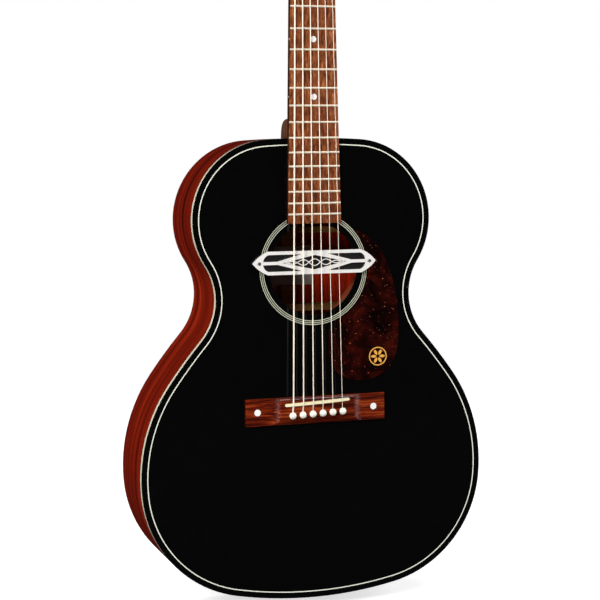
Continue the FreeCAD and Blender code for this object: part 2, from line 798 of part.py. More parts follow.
def saddle_blank(clearance, deep):
    """The saddle's bar in its slot, slanted for compensation."""
    wide = size("saddle_width") / 2 + clearance
    half = size("saddle_length") / 2 + clearance
    top = FRONT - size("bridge_block_height")
    bar = Part.makeBox(2 * (half - wide), deep + 5, 2 * wide, V(wide - half, -5, -wide))
    for side in (-1, 1):
        bar = bar.fuse(Part.makeCylinder(wide, deep + 5, V(side * (half - wide), -5, 0), V(0, 1, 0)))
    bar.Placement = FreeCAD.Placement(V(0, top, SCALE_END - size("saddle_drop")),
                                      FreeCAD.Rotation(V(0, 1, 0), -size("saddle_slant")))
    return bar


def saddle_crown():
    """A large roller whose surface carries the strings' undersides."""
    radius = size("board_arch_radius")
    top = FRONT - size("string_height_saddle") + 0.35
    return Part.makeCylinder(radius, 80, V(0, top + radius, SCALE_END - 40), V(0, 0, 1))


def make_bridge_pins():
    radius, head = size("pin_radius"), size("pin_head_radius")
    tall = size("bridge_block_height")
    pins = []
    for index in range(6):
        profile = [(0, -24), (radius - 0.8, -24), (radius, -20), (radius, 0.05), (radius + 0.9, 0.05),
                   (radius + 0.9, 0.9), (head - 0.3, 1.4), (head, 2.2), (head - 0.3, 3.2), (head - 1.2, 4.2),
                   (head - 2.3, 4.8), (0, 5.1)]
        pin = turned_body(f"bridge_pin_{index + 1}", profile)
        slot = closed_polygon([V(-0.85, -26, 0), V(0.85, -26, 0), V(0.85, 2.6, 0), V(-0.85, 2.6, 0)])
        half = add_slot(pin, slot)
        x, z = pin_place(index)
        half.Placement = FreeCAD.Placement(V(x, FRONT - tall, z), FreeCAD.Rotation(V(1, 0, 0), 90))
        pins.append(half)
    group("bridge_pins", pins)


def add_slot(pin, outline):
    """Cut the string's groove along the side of a pin that faces the saddle."""
    before = pin.Shape.Volume
    cut = pin.newObject("PartDesign::Pocket", pin.Name + "_slot")
    cut.Profile = add_sketch(pin, "XZ_Plane", outline)
    cut.Profile[0].AttachmentOffset = FreeCAD.Placement(V(0, 0, -0.75), FreeCAD.Rotation())
    cut.Length = 6
    cut.Reversed = False
    doc.recompute()
    if pin.Shape.Volume >= before:
        raise RuntimeError("the pin's slot cut nothing")
    return pin


DOT_RECESS = 1.55
BRIDGE_BOLT_HEAD = 1.0
BRIDGE_BOLT = [(0, 0), (3.4, 0), (3.4, BRIDGE_BOLT_HEAD), (2.4, BRIDGE_BOLT_HEAD), (2.4, 12.5), (0, 12.5)]
BRIDGE_NUT = [(2.45, 0), (4.6, 0), (4.6, 3.2), (2.45, 3.2)]


def make_bridge_trim():
    dots, bolts = [], []
    for side in (-1, 1):
        x = side * size("bridge_dot_spacing") / 2
        face = FRONT - (size("bridge_wing_height") - 0.45)
        dots.append(cylinder(f"bridge_dot_{side + 2}", "bridge_dot_radius - 0.03", "1.1",
                             V(x, face - 0.05, BRIDGE_Z), V(0, 1, 0)))
        inward = FreeCAD.Rotation(V(1, 0, 0), -90)
        head = turned_body(f"bridge_bolt_{side + 2}", BRIDGE_BOLT)
        head.Placement = FreeCAD.Placement(V(x, FRONT - DOT_RECESS - BRIDGE_BOLT_HEAD, BRIDGE_Z), inward)
        nut = turned_body(f"bridge_nut_{side + 2}", BRIDGE_NUT)
        nut.Placement = FreeCAD.Placement(V(x, UNDER_TOP + 0.02, BRIDGE_Z), inward)
        bolts += [head, nut]
    group("bridge_dots", dots)
    group("bridge_bolts", bolts)


# ---------------------------------------------------------------- neck
def board_half_width(z):
    """Half the fingerboard's width at a height up the neck."""
    share = (NUT_FRONT - z) / (NUT_FRONT - BOARD_END)
    return (size("nut_width") * (1 - share) + size("board_end_width") * share) / 2


BOARD_END = SCALE_END + fret_distance(size("fret_count")) - size("board_end_past_fret")


def half_oval(half_width, reach, corner=math.sqrt(0.5)):
    """A closed wire in X and Y over its flat side on the X axis; a larger corner weight makes it squarer."""
    poles = [V(half_width, 0, 0), V(half_width, reach, 0), V(0, reach, 0), V(-half_width, reach, 0),
             V(-half_width, 0, 0)]
    curve = Part.BSplineCurve()
    curve.buildFromPolesMultsKnots(poles, [3, 2, 3], [0, 0.5, 1], False, 2, [1, corner, 1, corner, 1])
    return Part.Wire([curve.toShape(), Part.makeLine(poles[-1], poles[0])])


def neck_section(z, half_width, depth):
    """A rounded C under a flat top at the soundboard's level."""
    wire = half_oval(half_width, depth)
    wire.Placement = FreeCAD.Placement(V(0, FRONT, z), FreeCAD.Rotation())
    return wire


def heel_slice(y, half_width, reach, corner):
    """A nose-shaped slice of the heel at one depth, flat against the body."""
    wire = half_oval(half_width, reach, corner)
    wire.Placement = FreeCAD.Placement(V(0, y, BODY_LENGTH - 6), UPRIGHT)
    return wire


# depth below the soundboard, half width, reach from inside the joint, and corner weight of each slice
HEEL_SLICES = [(6.0, 27.0, 100.0, 0.71), (16.0, 25.0, 54.0, 0.8), (30.0, 21.0, 35.0, 1.0),
               (46.0, 16.0, 32.0, 1.3), (62.0, 12.5, 29.5, 1.6), (78.0, 11.0, 28.5, 1.6)]
HEEL_CAP_THICKNESS = 3.0


def head_outline():
    """Half widths that flare from the neck and end in a shallow crown."""
    base, top = size("head_base_width") / 2, size("head_top_width") / 2
    long = size("head_length")
    neck = size("nut_width") / 2 - 0.2
    right = [(V(neck, 0, 0), V(neck + 2.0, 9, 0), V(base - 1.0, 21, 0)),
             (V(base - 1.0, 21, 0), V(base, 25, 0), V(base + 0.6, 30, 0)),
             (V(base + 0.6, 30, 0), V((base + top) / 2 - 0.6, long * 0.55, 0), V(top, long - 12, 0)),
             (V(top, long - 12, 0), V(top * 0.52, long - 3.4, 0), V(0, long, 0))]
    curves = arcs_to_curves(right + mirrored(right))
    return curves + [line(V(-neck, 0, 0), V(neck, 0, 0))]


def head_prism(front_depth, thickness):
    return upright_prism(head_outline(), front_depth, thickness)


def make_neck():
    joint = BODY_LENGTH
    nut_half = size("nut_width") / 2 - 0.1
    joint_half = board_half_width(joint) - 0.1
    sections = [neck_section(NUT_BACK, nut_half, size("neck_depth_nut")),
                neck_section(joint - 6, joint_half, size("neck_depth_body"))]
    shaft = Part.makeLoft(sections, True, True)
    heel = Part.makeLoft([heel_slice(FRONT + depth, *rest) for depth, *rest in HEEL_SLICES], True, False)
    head = head_prism(0, HEAD_BACK)
    head.Placement = HEAD_PLACE
    tenon = tenon_box("neck_tenon", 0.0)
    doc.recompute()
    neck = shaft.fuse([heel, head])
    body_space = upright_prism(full_outline(-0.05), FRONT - 1, 2 * DEEP)
    neck = neck.cut(body_space).fuse(tenon.Shape)
    for number in range(6):
        neck = neck.cut(post_hole(number))
    channel = Part.makeBox(TRUSS_WIDTH, TRUSS_DEPTH, NUT_BACK - joint - 5,
                           V(-TRUSS_WIDTH / 2, FRONT, joint + 6))
    neck = neck.cut(channel).cut(truss_pocket())
    keep("neck", shape_part("neck", neck.removeSplitter()))
    cap_y = FRONT + HEEL_SLICES[-1][0]
    cap_wire = heel_slice(cap_y, *HEEL_SLICES[-1][1:])
    cap = Part.Face(cap_wire).extrude(V(0, HEEL_CAP_THICKNESS, 0)).cut(body_space)
    keep("heel_cap", shape_part("heel_cap", cap))


TRUSS_WIDTH = 6.4
TRUSS_DEPTH = 9.5
TRUSS_Y = FRONT + 6.0
TRUSS_NUT_LENGTH = 9.0
TRUSS_ROD_RADIUS = 2.4
HEX_KEY = 2.2


def truss_pocket():
    """The opening in the headstock's face where the truss rod's nut is reached."""
    return Part.makeBox(11.0, 14.0, 22.0, V(-5.5, FRONT - 3.0, NUT_BACK + 0.5))


def make_truss_rod():
    joint = BODY_LENGTH
    rod = cylinder("truss_rod_bar", f"{TRUSS_ROD_RADIUS}", f"{NUT_BACK + 11 - joint - 8}",
                   V(0, TRUSS_Y, joint + 8))
    anchor = box("truss_rod_anchor", V(-3.1, TRUSS_Y - 3.0, joint + 6.5), V(3.1, TRUSS_Y + 3.0, joint + 12))
    keep("truss_rod", boolean("Fuse", "truss_rod", rod, anchor))
    nut = Part.makeCylinder(3.7, TRUSS_NUT_LENGTH, V(0, TRUSS_Y, NUT_BACK + 1.2), V(0, 0, 1))
    bore = Part.makeCylinder(TRUSS_ROD_RADIUS + size("running_clearance"), TRUSS_NUT_LENGTH,
                             V(0, TRUSS_Y, NUT_BACK + 1.2), V(0, 0, 1))
    corners = [math.radians(60 * corner) for corner in range(6)]
    hexagon = [V(HEX_KEY * math.cos(angle), HEX_KEY * math.sin(angle), 0) for angle in corners]
    socket = Part.Face(Part.makePolygon(hexagon + hexagon[:1])).extrude(V(0, 0, 4))
    socket.Placement.Base = V(0, TRUSS_Y, NUT_BACK + 1.2 + TRUSS_NUT_LENGTH - 3.9)
    keep("truss_rod_nut", shape_part("truss_rod_nut", nut.cut(bore).cut(socket)))


def board_axis(rise=0.0):
    """A point on the axis of the fingerboard's arch."""
    return V(0, FRONT - size("board_thickness") + size("board_arch_radius") - rise, 0)


def fret_shape(fret):
    """One fret bent to the fingerboard's arch: a rounded crown over a thin tang."""
    z = SCALE_END + fret_distance(fret)
    radius = size("board_arch_radius")
    half, crown = size("fret_width") / 2, size("fret_crown")
    tang, deep = size("tang_width") / 2, size("tang_depth")
    centre = board_axis()
    surface = FRONT - size("board_thickness")

    def at(out, dz):
        return V(0, surface - out, z + dz)

    edges = [Part.Arc(at(0, -half), at(crown, 0), at(0, half)).toShape(),
             Part.makeLine(at(0, half), at(0, tang)), Part.makeLine(at(0, tang), at(-deep, tang)),
             Part.makeLine(at(-deep, tang), at(-deep, -tang)), Part.makeLine(at(-deep, -tang), at(0, -tang)),
             Part.makeLine(at(0, -tang), at(0, -half))]
    face = Part.Face(Part.Wire(edges))
    reach = math.degrees(math.asin((board_half_width(z) - 0.4) / radius))
    face.rotate(centre, V(0, 0, 1), -reach)
    return face.revolve(centre, V(0, 0, 1), 2 * reach)


DOTTED_FRETS = [3, 5, 7, 9, 12]
DOT_RADIUS = 3.3
DOT_DEPTH = 2.2
SIDE_DOT_RADIUS = 1.0
SLOT_DEPTH = 3.8


def between_frets(fret):
    """The middle of the space behind a fret."""
    return SCALE_END + (fret_distance(fret) + fret_distance(fret - 1)) / 2


def face_dot(fret):
    front = V(0, FRONT - size("board_thickness") - 1, between_frets(fret))
    return Part.makeCylinder(DOT_RADIUS, DOT_DEPTH, front, V(0, 1, 0))


def side_dot(fret):
    z = between_frets(fret)
    edge = V(-board_half_width(z) - 0.02, FRONT - size("board_thickness") / 2, z)
    return Part.makeCylinder(SIDE_DOT_RADIUS, 2.0, edge, V(1, 0, 0))


def fret_slot(fret):
    """A saw cut across the board, as deep at its edges as the tang."""
    z = SCALE_END + fret_distance(fret)
    half = size("tang_width") / 2 + 0.01
    return Part.makeBox(80, SLOT_DEPTH + 1, 2 * half, V(-40, FRONT - size("board_thickness") - 1, z - half))


def make_fingerboard():
    every_fret = range(1, int(size("fret_count")) + 1)
    keep("frets", shape_part("frets", Part.makeCompound([fret_shape(fret) for fret in every_fret])))
    bottom, top = board_half_width(NUT_FRONT), board_half_width(BOARD_END)
    plan = closed_polygon([V(-bottom, NUT_FRONT, 0), V(bottom, NUT_FRONT, 0), V(top, BOARD_END, 0),
                           V(-top, BOARD_END, 0)])
    blank = front_plate("fingerboard_blank", plan, "board_thickness", FRONT - size("board_thickness"))
    roller = cylinder("fingerboard_arch", "board_arch_radius", "600", board_axis() + V(0, 0, BOARD_END - 20))
    arched = boolean("Common", "fingerboard_arched", blank, roller)
    dots = [face_dot(fret).common(roller.Shape) for fret in DOTTED_FRETS]
    dots += [side_dot(fret) for fret in DOTTED_FRETS]
    keep("fret_markers", shape_part("fret_markers", Part.makeCompound(dots)))
    holes = [face_dot(fret) for fret in DOTTED_FRETS] + [side_dot(fret) for fret in DOTTED_FRETS]
    cuts = shape_part("fingerboard_cuts", Part.makeCompound([fret_slot(fret) for fret in every_fret] + holes))
    keep("fingerboard", boolean("Cut", "fingerboard", arched, cuts))


def make_nut():
    half = size("nut_width") / 2 - 0.05
    radius = size("board_arch_radius")
    top = FRONT - size("string_height_nut") - 0.1
    bar = Part.makeBox(2 * half, 12, size("nut_thickness") - 0.05, V(-half, FRONT - 12, NUT_FRONT + 0.02))
    crown = Part.makeCylinder(radius, 10, V(0, top + radius, NUT_FRONT - 1), V(0, 0, 1))
    nut = bar.common(crown)
    for index in range(6):
        start, end = string_path(index)[4:6]
        half = STRING_RADII[index] + 0.02
        nut = nut.cut(rod_chain([start, end], half))
        nut = nut.cut(Part.makeBox(2 * half, 3, 8, V(start.x - half, start.y - 3, NUT_FRONT - 1)))
    keep("nut", shape_part("nut", nut))


# ---------------------------------------------------------------- headstock
BUSHING_RADIUS = 4.6


def post_hole(number):
    """The bore of one string post, wider at the front where its bushing sits."""
    x, along = post_place(number)
    narrow = Part.makeCylinder(size("post_radius") + 0.5, 40, head_point(x, 20, along), HEAD_OUT)
    wide = Part.makeCylinder(BUSHING_RADIUS - 0.8, 30, head_point(x, 8, along), HEAD_OUT)
    return narrow.fuse(wide)


# the bell-shaped cover: half widths and distances along the headstock
COVER_POINTS = [(11.0, 3.0), (12.5, 14.0), (7.0, 27.0), (3.0, 36.0), (0.0, 41.0)]
COVER_THICKNESS = 1.8
COVER_SCREW_ALONG = 34.5


def make_headstock():
    veneer = head_prism(-size("veneer_thickness"), size("veneer_thickness"))
    veneer.Placement = HEAD_PLACE
    for number in range(6):
        veneer = veneer.cut(post_hole(number))
    opening = Part.makeBox(11.0, 8.0, 22.0, V(-5.5, -5, 0.5))
    opening.Placement = HEAD_PLACE
    keep("headstock_veneer", shape_part("headstock_veneer", veneer.cut(opening).cut(truss_pocket())))
    points = [V(*point, 0) for point in COVER_POINTS]
    side = [tuple(points[0:3]), tuple(points[2:5])]
    outline = arcs_to_curves(side + mirrored(side))
    outline.append(line(V(-points[0].x, points[0].y, 0), points[0]))
    cover = upright_prism(outline, -size("veneer_thickness") - COVER_THICKNESS, COVER_THICKNESS)
    cover = cover.cut(Part.makeCylinder(SCREW_HOLE, 6, V(0, -6, COVER_SCREW_ALONG), V(0, 1, 0)))
    cover.Placement = HEAD_PLACE
    keep("truss_rod_cover", shape_part("truss_rod_cover", cover))


SCREW_HEAD = 1.9
SCREW_HEAD_HEIGHT = 1.1
SCREW_SHANK = 0.95
SCREW_HOLE = 1.1


def wood_screw(point, inward, long):
    """A small round-head screw, its head's underside at the point."""
    rim = Part.makeCylinder(SCREW_HEAD, SCREW_HEAD_HEIGHT, point, inward * -1)
    head = Part.makeSphere(SCREW_HEAD, point).common(rim)
    return head.fuse(Part.makeCylinder(SCREW_SHANK, long + 0.5, point - inward * 0.5, inward))


# ---------------------------------------------------------------- tuners
PLATE_THICKNESS = 1.0
AXIS_DROP = PLATE_THICKNESS + 3.7
GEAR_FACE = 3.0
GEAR_TIP = 6.55
GEAR_ROOT = 5.1
WORM_TIP = 3.25
WORM_ROOT = 1.85
JOURNAL = 1.5
CENTRE_DISTANCE = size("gear_pitch_radius") + size("worm_pitch_radius")
WORM_PITCH = 2 * math.pi * size("gear_pitch_radius") / size("gear_teeth")
BUTTON_START = 19.0
LUG_X = 6.2
LUG_THICKNESS = 1.4


def trapezoid_face(base, tip, base_half, tip_half):
    """A tooth's section between two radii, in X and Z."""
    points = [V(base, 0, -base_half), V(tip, 0, -tip_half), V(tip, 0, tip_half), V(base, 0, base_half)]
    return Part.makePolygon(points + points[:1])


def worm_thread():
    """A right-handed thread along Z, its middle at the origin."""
    long = 3.5 * WORM_PITCH
    helix = Part.makeHelix(WORM_PITCH, long, WORM_ROOT)
    section = trapezoid_face(WORM_ROOT - 0.25, WORM_TIP, 0.5, 0.25)
    thread = Part.Wire(helix).makePipeShell([section], True, True)
    thread.translate(V(0, 0, -long / 2))
    return thread


def worm_and_shaft():
    """Worm, journals and the stub that carries the button, along +X from the worm's middle."""
    core = Part.makeCylinder(WORM_ROOT, 9.8, V(0, 0, -4.9), V(0, 0, 1))
    worm = core.fuse(worm_thread())
    start = -LUG_X - LUG_THICKNESS
    shaft = Part.makeCylinder(JOURNAL, BUTTON_START + 8 - start, V(0, 0, start), V(0, 0, 1))
    worm = worm.fuse(shaft)
    worm.rotate(V(0, 0, 0), V(0, 0, 1), 180)
    worm.rotate(V(0, 0, 0), V(0, 1, 0), 90)
    return worm


def button_shape():
    """A flattened oval knob on the end of the shaft."""
    oval = Part.Ellipse(V(0, 0, 0), 7.6, 6.4)
    face = Part.Face(Part.Wire([oval.toShape()]))
    knob = face.extrude(V(0, 0, 6.6))
    knob.translate(V(0, 0, -3.3))
    knob = knob.makeFillet(2.6, [edge for edge in knob.Edges if edge.BoundBox.ZLength < 0.01])
    knob.rotate(V(0, 0, 0), V(0, 0, 1), 90)
    knob.translate(V(BUTTON_START + 7.4, 0, 0))
    collar = Part.makeCylinder(2.6, 2.4, V(BUTTON_START - 0.4, 0, 0), V(1, 0, 0))
    return knob.fuse(collar)


def gear_shape():
    """A straight-toothed wheel about Z with slim teeth that leave the thread some backlash."""
    wheel = Part.makeCylinder(GEAR_ROOT, GEAR_FACE, V(0, 0, -GEAR_FACE / 2), V(0, 0, 1))
    teeth = []
    step = 360 / size("gear_teeth")
    for tooth in range(int(size("gear_teeth"))):
        section = [(GEAR_ROOT - 0.3, -0.62), (GEAR_TIP, -0.28), (GEAR_TIP, 0.28), (GEAR_ROOT - 0.3, 0.62)]
        points = [V(x, y, -GEAR_FACE / 2) for x, y in section]
        prism = Part.Face(Part.makePolygon(points + points[:1])).extrude(V(0, 0, GEAR_FACE))
        prism.rotate(V(0, 0, 0), V(0, 0, 1), -90 + (tooth + 0.5) * step)
        teeth.append(prism)
    return wheel.fuse(teeth).removeSplitter()


def post_shape():
    """String post through the headstock with its gear, gear screw and string hole."""
    radius = size("post_radius")
    bottom = -AXIS_DROP - GEAR_FACE / 2
    top = HEAD_BACK + size("veneer_thickness") + POST_TOP
    shaft = Part.makeCylinder(radius, top - bottom, V(0, 0, bottom), V(0, 0, 1))
    shaft = shaft.makeChamfer(0.5, [edge for edge in shaft.Edges if edge.BoundBox.ZMin > top - 0.01])
    string_hole = top - 8.2
    shaft = shaft.cut(Part.makeTorus(radius + 1.7, 2.1, V(0, 0, string_hole), V(0, 0, 1)))
    shaft = shaft.cut(Part.makeCylinder(0.9, 20, V(-10, 0, string_hole), V(1, 0, 0)))
    gear = gear_shape()
    gear.translate(V(0, 0, -AXIS_DROP))
    screw = Part.makeCylinder(2.6, 1.3, V(0, 0, bottom - 1.3), V(0, 0, 1))
    slot = Part.makeBox(6, 0.7, 0.7, V(-3, -0.35, bottom - 1.3))
    return shaft.fuse([gear, screw]).cut(slot)


def winding_shape(index):
    """The turns of string held on the post."""
    radius = max(STRING_RADII[index], 0.3)
    turns = 3 if index < 3 else 5
    level = HEAD_BACK - WIND_DEPTH
    rings = []
    for turn in range(turns):
        height = level + (0.5 - turn) * 2 * radius * 1.02
        rings.append(Part.makeTorus(size("post_radius") - 0.05 + radius, radius, V(0, 0, height), V(0, 0, 1)))
    return rings[0].fuse(rings[1:])


def plate_shape():
    """Base plate with two bearing lugs for the worm shaft and a hole for the post."""
    low, high = -CENTRE_DISTANCE - 9.0, 13.0
    plate = Part.makeBox(2 * LUG_X + 3.0, high - low, PLATE_THICKNESS, V(-LUG_X - 1.5, low, -PLATE_THICKNESS))
    corners = [edge for edge in plate.Edges if abs(edge.tangentAt(edge.FirstParameter).z) > 0.9]
    solids = plate.makeFillet(2.5, corners)
    for side in (-1, 1):
        lug = Part.makeBox(LUG_THICKNESS, 6.4, AXIS_DROP + 2.4,
                           V(side * LUG_X - LUG_THICKNESS / 2, -CENTRE_DISTANCE - 3.2, -AXIS_DROP - 2.4))
        solids = solids.fuse(lug)
    bearing = size("running_clearance")
    bore = Part.makeCylinder(JOURNAL + bearing, 30, V(-15, -CENTRE_DISTANCE, -AXIS_DROP), V(1, 0, 0))
    hole = Part.makeCylinder(size("post_radius") + bearing, 5, V(0, 0, -4), V(0, 0, 1))
    solids = solids.cut(bore).cut(hole)
    for y in SCREW_Y:
        solids = solids.cut(Part.makeCylinder(SCREW_HOLE, 5, V(0, y, -4), V(0, 0, 1)))
    return solids.removeSplitter()


SCREW_Y = (-CENTRE_DISTANCE - 6.2, 10.2)


def tuner_place(number, shape):
    """Put a shape of the tuner's own frame on the headstock, mirrored on the bass side."""
    x, along = post_place(number)
    placed = shape if x > 0 else shape.mirror(V(0, 0, 0), V(1, 0, 0))
    own = FreeCAD.Placement(V(x, HEAD_BACK, along), FreeCAD.Rotation(V(1, 0, 0), 90))
    placed = placed.copy()
    placed.transformShape(HEAD_PLACE.multiply(own).toMatrix())
    return placed


def make_tuners():
    plate, post = plate_shape(), post_shape()
    worm, button = worm_and_shaft(), button_shape()
    worm.translate(V(0, -CENTRE_DISTANCE, -AXIS_DROP))
    button.translate(V(0, -CENTRE_DISTANCE, -AXIS_DROP))
    turner = worm.fuse(button)
    plates, bushings, screws = [], [], []
    for number in range(6):
        plates.append(tuner_place(number, plate))
        button_name, post_name = f"tuner_button_{number + 1}", f"tuner_post_{number + 1}"
        keep(button_name, shape_part(button_name, tuner_place(number, turner)))
        solids = Part.makeCompound([tuner_place(number, post), tuner_place(number, winding_shape(number))])
        keep(post_name, shape_part(post_name, solids))
        bushings.append(tuner_place(number, bushing_shape()))
        for y in SCREW_Y:
            screw = wood_screw(V(0, y, -PLATE_THICKNESS), V(0, 0, 1), 7.0)
            screws.append(tuner_place(number, screw))
    cover_face = -size("veneer_thickness") - COVER_THICKNESS
    cover_screw = wood_screw(V(0, cover_face, COVER_SCREW_ALONG), V(0, 1, 0), 7.0)
    cover_screw.transformShape(HEAD_PLACE.toMatrix())
    screws.append(cover_screw)
    keep("tuner_plates", shape_part("tuner_plates", Part.makeCompound(plates)))
    keep("tuner_bushings", shape_part("tuner_bushings", Part.makeCompound(bushings)))
    keep("headstock_screws", shape_part("headstock_screws", Part.makeCompound(screws)))


def bushing_shape():
    """A pressed ring that guides the post at the headstock's face."""
    face = HEAD_BACK + size("veneer_thickness")
    sleeve = Part.makeCylinder(BUSHING_RADIUS - 0.82, 8, V(0, 0, face - 8), V(0, 0, 1))
    flange = Part.makeCylinder(BUSHING_RADIUS + 0.6, 1.2, V(0, 0, face), V(0, 0, 1))
    flange = flange.makeChamfer(0.5, [edge for edge in flange.Edges if edge.BoundBox.ZMin > face + 1.1])
    bore_radius = size("post_radius") + size("running_clearance")
    bore = Part.makeCylinder(bore_radius, 20, V(0, 0, face - 12), V(0, 0, 1))
    return sleeve.fuse(flange).cut(bore)


# ---------------------------------------------------------------- tail
def make_tail_jack():
    """A strap button turned in one piece with a threaded sleeve, and the nut and washer inside the body."""
    sleeve, bore = JACK_SLEEVE_RADIUS, JACK_BORE_RADIUS
    button = [(bore, -11), (7.6, -11), (8.4, -10.2), (8.4, -8.6), (6.4, -7.4), (6.4, -2.4), (8.6, -1.4)]
    flange = [(8.6, -0.4), (sleeve, -0.4)]
    keep("endpin_jack", turned_body("endpin_jack", button + flange + [(sleeve, 46), (bore, 46)]))
    inside, washer = sleeve + 0.05, TAIL_BLOCK_LENGTH + 0.1
    rim = [(10.5, washer), (10.5, washer + 1), (9.2, washer + 1), (9.2, 29)]
    keep("endpin_nut", turned_body("endpin_nut", [(inside, washer)] + rim + [(inside, 29)]))


# ---------------------------------------------------------------- pickup
BASE_BAR = 1.2
COIL_BOX = V(80.0, 15.0, 19.0)
PICKUP_SCREW_INSET = 7.4


def mirrored_points(points, centre, x_sign, z_sign):
    """Points given from a centre, mirrored left to right and end to end."""
    return [V(centre.x + x_sign * x, centre.y + z_sign * z, 0) for x, z in points]


def cover_outline(centre):
    """Straight rails that bow in to a point at each end."""
    half, wide = size("pickup_length") / 2, size("pickup_width") / 2
    rail_end, bow = (half - 17.3, wide), (half - 7.3, wide * 0.56)
    curves = []
    for z_sign in (-1, 1):
        left, right = [mirrored_points([rail_end], centre, side, z_sign)[0] for side in (-1, 1)]
        curves.append(line(left, right))
        for side in (-1, 1):
            curves.append(Part.Arc(*mirrored_points([rail_end, bow, (half, 0)], centre, side, z_sign)))
    return curves


def cover_windows(centre):
    """Four long windows round a diamond, and the window inside the diamond."""
    rail, bar = size("pickup_width") / 2 - 3.6, 1.7
    diamond = [(36.6, 0), (0, 7.9)]
    upper, lower = [mirrored_points(diamond, centre, sign, sign) for sign in (1, -1)]
    windows = closed_polygon(upper + lower)
    corners = [(14.6, rail), (52.6, rail), (57.4, 6.0), (59.0, bar), (42.6, bar)]
    for x_sign in (-1, 1):
        for z_sign in (-1, 1):
            inner, rail_end, bow, tip, bar_end = mirrored_points(corners, centre, x_sign, z_sign)
            windows += [line(inner, rail_end), Part.Arc(rail_end, bow, tip)]
            windows += [line(tip, bar_end), line(bar_end, inner)]
    return windows


def make_pickup():
    z = SCALE_END + size("pickup_rise")
    centre = V(0, z, 0)
    lift = size("guard_thickness") + 0.3
    cover = front_plate("pickup_cover", cover_outline(centre), "pickup_cover_thickness",
                        FRONT - lift - BASE_BAR - size("pickup_cover_thickness"))
    pocket(cover, "XZ_Plane", cover_windows(centre), "pickup_cover_thickness")
    screw_x = size("pickup_length") / 2 - PICKUP_SCREW_INSET
    holes = [circle(1.3, side * screw_x, z) for side in (-1, 1)]
    keep("pickup_cover", pocket(cover, "XZ_Plane", holes, "pickup_cover_thickness"))
    gap = 0.05
    bar = front_plate("pickup_base_bar", cover_outline(centre), f"{BASE_BAR - gap}",
                      FRONT - lift - BASE_BAR + gap)
    coil = box("pickup_coil_box", V(-COIL_BOX.x / 2, FRONT - lift, z - COIL_BOX.z / 2),
               V(COIL_BOX.x / 2, FRONT + COIL_BOX.y, z + COIL_BOX.z / 2))
    keep("pickup_housing", boolean("Fuse", "pickup_housing", bar, coil))
    clamps, screws = [], []
    # each clamp is a plate under the soundboard, a riser beside the coil box and a link between them
    for side in (-1, 1):
        plate = Part.makeBox(16, 1.4, 12, V(side * 50 - 8, UNDER_TOP + 0.8, z - 6))
        riser = Part.makeBox(1.6, 10, 12, V(side * 42.8 - 0.8, UNDER_TOP - 1.0, z - 6))
        link = Part.makeBox(2.6, 1.4, 12, V(side * 41.4 - 1.3, UNDER_TOP + 7.6, z - 6))
        clamps.append(plate.fuse([riser, link]))
        screws.append(wood_screw(V(side * screw_x, FRONT - lift - 3.4, z), V(0, 1, 0), 3.2))
    keep("pickup_clamps", shape_part("pickup_clamps", Part.makeCompound(clamps)))
    keep("pickup_screws", shape_part("pickup_screws", Part.makeCompound(screws)))


# ---------------------------------------------------------------- build, check and write
def check_document():
    """Stop if any object failed or any sub-part's shape is unusable."""
    doc.recompute()
    for item in doc.Objects:
        if {"Invalid", "Error"} & set(item.State):
            raise RuntimeError(f"{item.Name} failed: {item.State}")
    for label, item in parts.items():
        if item.Shape.isNull() or not item.Shape.isValid() or item.Shape.Volume <= 0:
            raise RuntimeError(f"{label} has no valid shape")


make_soundboard()
make_sides()
make_back()
make_blocks()
make_linings()
make_top_braces()
make_bridge_plate()
make_back_braces()
make_label()
make_pickguard()
make_strings()
make_bridge()
make_bridge_pins()
make_bridge_trim()
make_neck()
make_truss_rod()
make_fingerboard()
make_nut()
make_headstock()
make_tuners()
make_tail_jack()
make_pickup()
check_document()

os.makedirs("parts", exist_ok=True)
for label, item in parts.items():
    item.Shape.exportStep(f"parts/{label}.step")
print(f"{len(parts)} sub-parts, body length {BODY_LENGTH:.2f}, scale end at {SCALE_END:.4f}")
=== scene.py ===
import math

import bmesh
import bpy
from mathutils import Matrix, Vector


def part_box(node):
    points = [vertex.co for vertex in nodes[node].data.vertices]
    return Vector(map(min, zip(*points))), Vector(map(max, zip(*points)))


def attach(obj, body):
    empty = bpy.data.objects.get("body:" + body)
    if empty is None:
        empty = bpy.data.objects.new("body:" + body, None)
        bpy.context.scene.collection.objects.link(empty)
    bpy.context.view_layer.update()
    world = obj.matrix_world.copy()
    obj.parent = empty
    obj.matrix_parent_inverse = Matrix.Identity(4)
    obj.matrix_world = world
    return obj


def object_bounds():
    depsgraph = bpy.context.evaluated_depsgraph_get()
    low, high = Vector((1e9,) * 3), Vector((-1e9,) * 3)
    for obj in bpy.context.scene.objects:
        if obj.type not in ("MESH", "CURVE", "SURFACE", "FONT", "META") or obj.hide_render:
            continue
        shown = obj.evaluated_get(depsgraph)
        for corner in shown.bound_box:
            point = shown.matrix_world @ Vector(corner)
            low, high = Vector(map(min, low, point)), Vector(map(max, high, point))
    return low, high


# Looks of the acoustic guitar. Metres, in the frame of the CAD model: +Z up the neck, the soundboard
# faces -Y and +X is the treble side. Every size below is in metres. Noise scales are in cycles per metre.

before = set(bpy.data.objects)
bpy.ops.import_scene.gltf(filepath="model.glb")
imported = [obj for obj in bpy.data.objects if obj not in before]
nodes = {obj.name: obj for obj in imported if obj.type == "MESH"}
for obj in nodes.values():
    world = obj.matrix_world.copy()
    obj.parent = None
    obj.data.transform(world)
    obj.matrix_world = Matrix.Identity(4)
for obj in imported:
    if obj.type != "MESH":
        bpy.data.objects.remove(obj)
CAD_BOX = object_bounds()

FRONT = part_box("soundboard")[0].y
FLOOR_GAP = 0.001
FLOOR = CAD_BOX[0].z - FLOOR_GAP
TUNERS = range(1, 7)


